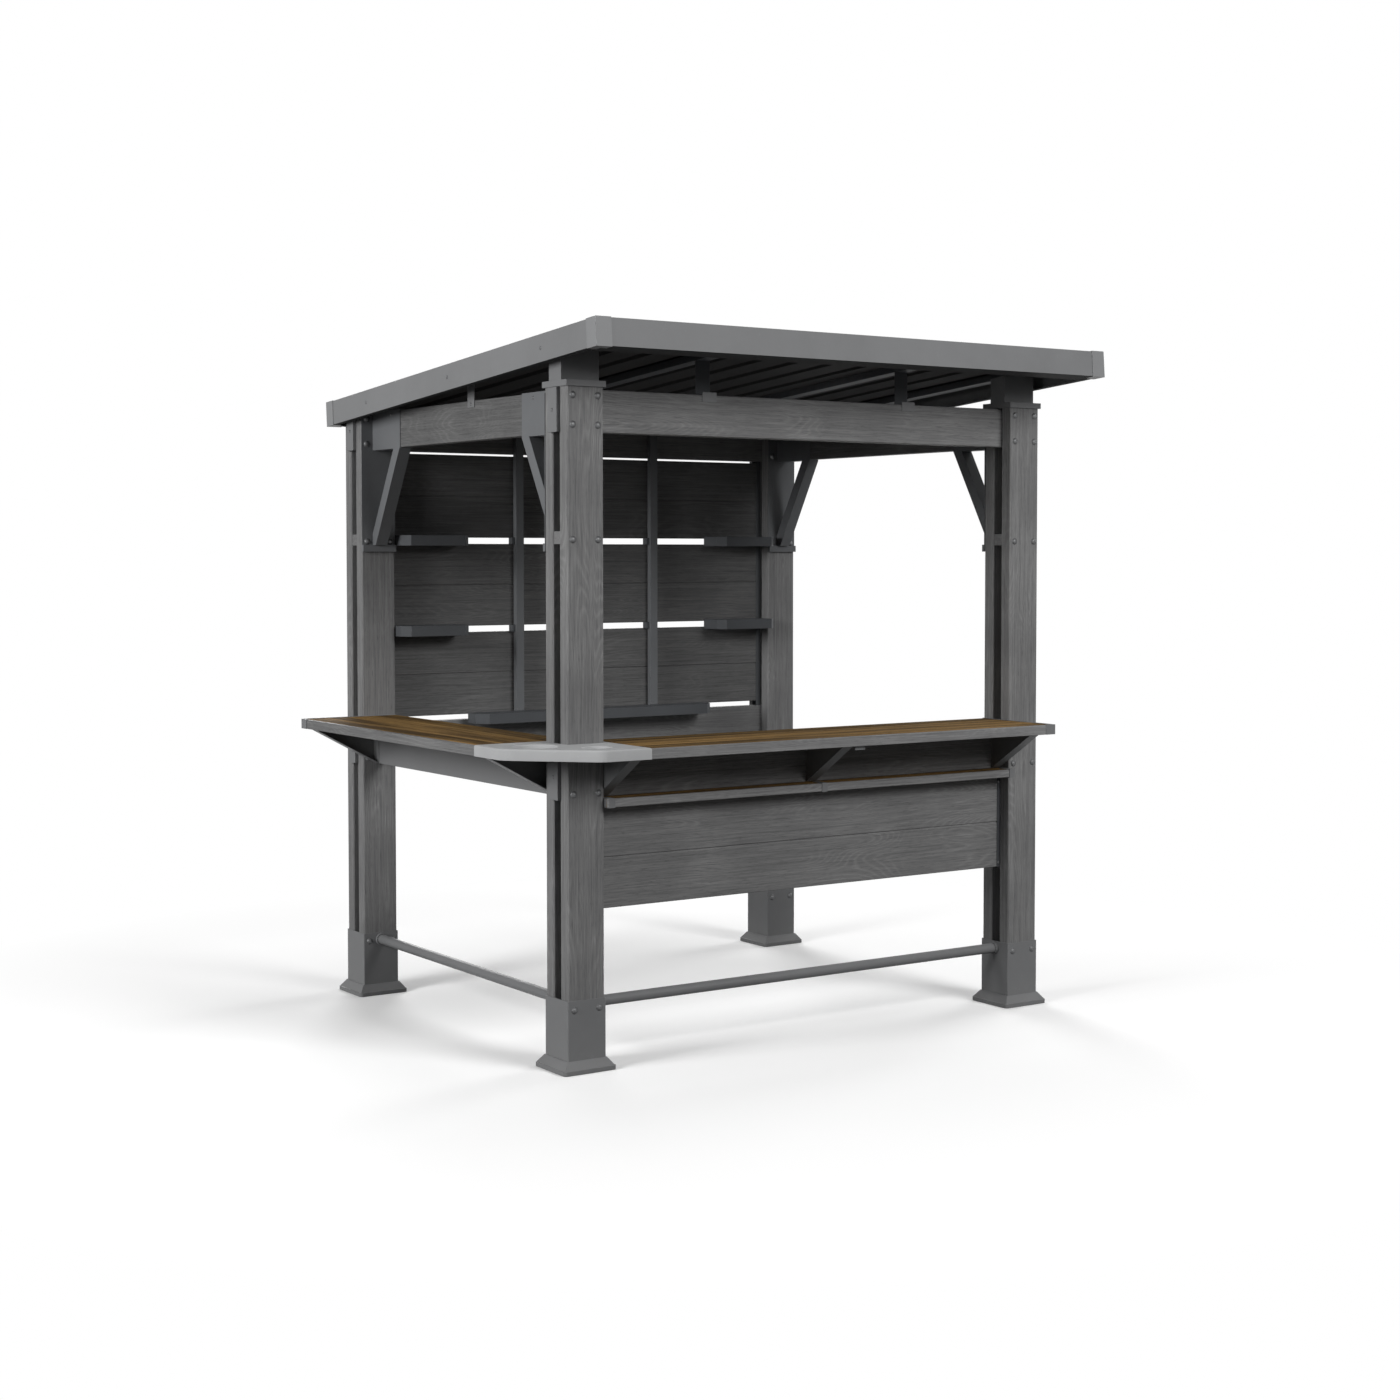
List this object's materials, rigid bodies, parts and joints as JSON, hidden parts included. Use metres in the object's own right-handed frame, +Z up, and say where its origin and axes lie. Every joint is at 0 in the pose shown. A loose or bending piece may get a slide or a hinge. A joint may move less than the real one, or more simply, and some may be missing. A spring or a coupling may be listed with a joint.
{
  "type": "bar gazebo",
  "caption": "Outdoor bar shelter with twin-board posts, a sloping metal roof, a shelved back wall and an L-shaped counter.",
  "frame": {"origin": "middle of the whole outline, on the ground", "axes": "front with the long counter is -Y, the short counter is on -X, the open entry is on +X, +Z is up"},
  "size_m": [2.339, 2.0042, 2.4168],
  "materials": {
    "grey_wood": "charcoal stained wood with open grain",
    "counter_wood": "brown streaked planks, satin",
    "grey_steel": "matt grey powder coat",
    "dark_steel": "matt dark powder coat",
    "tray_paint": "smooth light grey paint"
  },
  "bodies": {
    "root": {"post_front_left": "grey_wood", "post_front_right": "grey_wood", "post_back_left": "grey_wood", "post_back_right": "grey_wood", "post_spacers": "grey_wood", "base_sleeve_front_left": "grey_steel", "base_sleeve_front_right": "grey_steel", "base_sleeve_back_left": "grey_steel", "base_sleeve_back_right": "grey_steel", "post_caps": "grey_steel", "front_beam": "grey_wood", "back_beam": "grey_wood", "side_beams": "grey_wood", "front_rail_beam": "grey_wood", "back_rail_beam": "grey_wood", "left_counter_rail": "grey_steel", "beam_end_caps": "grey_steel", "knee_bracket_front_left": "grey_steel", "knee_bracket_front_right": "grey_steel", "knee_bracket_back_left": "grey_steel", "knee_bracket_back_right": "grey_steel", "fascia_front": "grey_steel", "fascia_back": "grey_steel", "fascia_left": "grey_steel", "fascia_right": "grey_steel", "roof_corner_caps": "grey_steel", "roof_sheet": "dark_steel", "rafters": "dark_steel", "roof_clips": "grey_steel", "back_panel_top": "grey_wood", "back_panel_middle": "grey_wood", "back_panel_lower": "grey_wood", "panel_channels": "dark_steel", "wall_uprights": "dark_steel", "corner_shelves": "dark_steel", "long_shelf": "dark_steel", "front_panel": "grey_wood", "front_ledge": "counter_wood", "ledge_clips": "grey_steel", "front_counter_planks": "counter_wood", "left_counter_planks": "counter_wood", "counter_edging": "grey_wood", "counter_end_caps": "grey_steel", "corner_tray": "tray_paint", "counter_brackets": "grey_steel", "foot_rails": "grey_steel", "foot_rail_collars": "grey_steel"}
  },
  "joints": []
}
